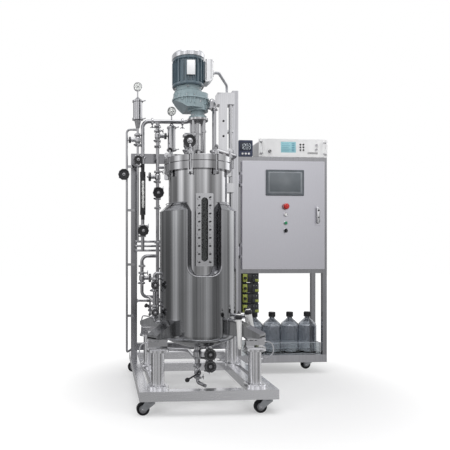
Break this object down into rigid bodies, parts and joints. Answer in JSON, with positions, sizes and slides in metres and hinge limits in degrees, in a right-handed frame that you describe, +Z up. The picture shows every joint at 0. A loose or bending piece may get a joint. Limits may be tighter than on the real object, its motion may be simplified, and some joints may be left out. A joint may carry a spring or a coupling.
{
  "type": "bench bioreactor",
  "caption": "Skid-mounted stainless stirred bioreactor: jacketed vessel on load cells, top drive, pipe gantry with valves, control cabinet on a stand, casters.",
  "frame": {"origin": "on the floor under the middle of the whole machine", "axes": "+Z up; +X to the right and +Y to the back for someone facing the vessel and the cabinet door"},
  "size_m": [1.4476, 1.04, 1.99],
  "materials": {
    "polished_steel": "mirror polished stainless steel",
    "brushed_steel": "satin brushed stainless steel",
    "bright_hardware": "bright turned stainless steel",
    "gear_paint": "grey-green gloss enamel",
    "motor_paint": "dark blue-grey gloss enamel",
    "cowl_metal": "pressed bare aluminium",
    "terminal_metal": "cast and bare",
    "conduit_grey": "grey corrugated plastic",
    "black_plastic": "black moulded plastic",
    "grey_rubber": "black rubber tread",
    "white_plastic": "white moulded plastic",
    "red_plastic": "red moulded plastic",
    "green_plastic": "green moulded plastic",
    "sight_glass": "borosilicate glass",
    "bottle_glass": "clear glass",
    "tray_acrylic": "clear acrylic",
    "screen_black": "dark bezel with grey-blue screen",
    "rack_enamel": "off-white enamel",
    "display_slate": "dark slate-blue plastic",
    "pump_green": "yellow-green and dark grey plastic",
    "gauge_face": "steel case with a white dial",
    "cable_grey": "grey braided cable"
  },
  "bodies": {
    "plant": {"air_filters": "polished_steel", "bottle_caps": "black_plastic", "bottle_tray": "tray_acrylic", "bottles": "bottle_glass", "cabinet_body": "brushed_steel", "cabinet_frame": "brushed_steel", "clamp_bolts": "bright_hardware", "display_unit": "display_slate", "drive_lantern": "polished_steel", "fan_cowl": "cowl_metal", "gantry_frame": "brushed_steel", "gearbox": "gear_paint", "left_load_cable": "cable_grey", "lid": "polished_steel", "lift_carriage": "bright_hardware", "lift_mast": "brushed_steel", "load_cells": "bright_hardware", "motor_body": "motor_paint", "motor_conduit": "conduit_grey", "mounting_plate": "rack_enamel", "pressure_gauges": "gauge_face", "probe_sleeves": "white_plastic", "pump_stack": "pump_green", "rack_instrument": "rack_enamel", "right_load_cable": "cable_grey", "rotameter": "black_plastic", "service_pipes": "polished_steel", "sight_glass": "sight_glass", "sight_glass_frame": "bright_hardware", "skid_frame": "brushed_steel", "support_legs": "polished_steel", "terminal_box": "terminal_metal", "valve_bodies": "bright_hardware", "vapour_pipe": "polished_steel", "vessel_jacket": "polished_steel", "vessel_shell": "polished_steel"},
    "caster_1_fork": {"caster_fork_1": "bright_hardware"},
    "caster_1_wheel": {"caster_wheel_1": "grey_rubber"},
    "caster_2_fork": {"caster_fork_2": "bright_hardware"},
    "caster_2_wheel": {"caster_wheel_2": "grey_rubber"},
    "caster_3_fork": {"caster_fork_3": "bright_hardware"},
    "caster_3_wheel": {"caster_wheel_3": "grey_rubber"},
    "caster_4_fork": {"caster_fork_4": "bright_hardware"},
    "caster_4_wheel": {"caster_wheel_4": "grey_rubber"},
    "caster_5_fork": {"caster_fork_5": "bright_hardware"},
    "caster_5_wheel": {"caster_wheel_5": "grey_rubber"},
    "agitator": {"agitator": "polished_steel"},
    "door": {"cabinet_door": "brushed_steel", "touch_panel": "screen_black"},
    "handle": {"door_handle": "bright_hardware"},
    "stop_button": {"emergency_stop": "red_plastic"},
    "white_button_body": {"white_button": "white_plastic"},
    "green_button_body": {"green_button": "green_plastic"},
    "selector": {"selector_knob": "black_plastic"},
    "lid_wheel": {"lid_handwheel": "black_plastic"},
    "air_wheel": {"air_handwheel": "black_plastic"},
    "drip_wheel": {"drip_handwheel": "black_plastic"},
    "flow_wheel": {"flow_handwheel": "black_plastic"},
    "header_wheel": {"header_handwheel": "black_plastic"},
    "drain_lever": {"drain_lever": "black_plastic"}
  },
  "joints": [
    {"name": "caster_1_swivel", "type": "hinge", "parent": "plant", "child": "caster_1_fork", "pos_m": [-0.5755, -0.47, 0.07], "axis": [0, 0, 1], "continuous": true},
    {"name": "caster_1_roll", "type": "hinge", "parent": "caster_1_fork", "child": "caster_1_wheel", "pos_m": [-0.6135, -0.47, 0.034], "axis": [0, 1, 0], "continuous": true},
    {"name": "caster_2_swivel", "type": "hinge", "parent": "plant", "child": "caster_2_fork", "pos_m": [0.043, -0.47, 0.07], "axis": [0, 0, 1], "continuous": true},
    {"name": "caster_2_roll", "type": "hinge", "parent": "caster_2_fork", "child": "caster_2_wheel", "pos_m": [0.005, -0.47, 0.034], "axis": [0, 1, 0], "continuous": true},
    {"name": "caster_3_swivel", "type": "hinge", "parent": "plant", "child": "caster_3_fork", "pos_m": [-0.5755, 0.47, 0.07], "axis": [0, 0, 1], "continuous": true},
    {"name": "caster_3_roll", "type": "hinge", "parent": "caster_3_fork", "child": "caster_3_wheel", "pos_m": [-0.6135, 0.47, 0.034], "axis": [0, 1, 0], "continuous": true},
    {"name": "caster_4_swivel", "type": "hinge", "parent": "plant", "child": "caster_4_fork", "pos_m": [0.043, 0.47, 0.07], "axis": [0, 0, 1], "continuous": true},
    {"name": "caster_4_roll", "type": "hinge", "parent": "caster_4_fork", "child": "caster_4_wheel", "pos_m": [0.005, 0.47, 0.034], "axis": [0, 1, 0], "continuous": true},
    {"name": "caster_5_swivel", "type": "hinge", "parent": "plant", "child": "caster_5_fork", "pos_m": [0.677, 0.47, 0.07], "axis": [0, 0, 1], "continuous": true},
    {"name": "caster_5_roll", "type": "hinge", "parent": "caster_5_fork", "child": "caster_5_wheel", "pos_m": [0.639, 0.47, 0.034], "axis": [0, 1, 0], "continuous": true},
    {"name": "agitator_spin", "type": "hinge", "parent": "plant", "child": "agitator", "pos_m": [-0.273, -0.18, 1], "axis": [0, 0, 1], "continuous": true},
    {"name": "door_hinge", "type": "hinge", "parent": "plant", "child": "door", "pos_m": [0.114, 0.2937, 1.0955], "axis": [0, 0, -1], "range_deg": [0, 100]},
    {"name": "handle_turn", "type": "hinge", "parent": "door", "child": "handle", "pos_m": [0.647, 0.2747, 1.139], "axis": [0, 1, 0], "range_deg": [0, 90]},
    {"name": "stop_push", "type": "slide", "parent": "door", "child": "stop_button", "axis": [0, 1, 0], "range_m": [0, 0.005]},
    {"name": "white_button_push", "type": "slide", "parent": "door", "child": "white_button_body", "axis": [0, 1, 0], "range_m": [0, 0.003], "stiffness_N_per_m": 400},
    {"name": "green_button_push", "type": "slide", "parent": "door", "child": "green_button_body", "axis": [0, 1, 0], "range_m": [0, 0.003], "stiffness_N_per_m": 400},
    {"name": "selector_turn", "type": "hinge", "parent": "door", "child": "selector", "pos_m": [0.423, 0.2767, 0.989], "axis": [0, -1, 0], "range_deg": [-45, 45]},
    {"name": "lid_valve_turn", "type": "hinge", "parent": "plant", "child": "lid_wheel", "pos_m": [-0.343, -0.3162, 1.456], "axis": [0, -1, 0], "range_deg": [0, 720]},
    {"name": "air_valve_turn", "type": "hinge", "parent": "plant", "child": "air_wheel", "pos_m": [-0.596, 0.144, 1.435], "axis": [0, -1, 0], "range_deg": [0, 720]},
    {"name": "drip_valve_turn", "type": "hinge", "parent": "plant", "child": "drip_wheel", "pos_m": [-0.688, 0.1484, 1.34], "axis": [0, -1, 0], "range_deg": [0, 720]},
    {"name": "flow_valve_turn", "type": "hinge", "parent": "plant", "child": "flow_wheel", "pos_m": [-0.563, 0.144, 0.98], "axis": [0, -1, 0], "range_deg": [0, 720]},
    {"name": "header_valve_turn", "type": "hinge", "parent": "plant", "child": "header_wheel", "pos_m": [-0.466, 0.144, 1.224], "axis": [0, -1, 0], "range_deg": [0, 720]},
    {"name": "drain_lever_turn", "type": "hinge", "parent": "plant", "child": "drain_lever", "pos_m": [-0.273, -0.216, 0.15], "axis": [0, 1, 0], "range_deg": [0, 90]}
  ]
}
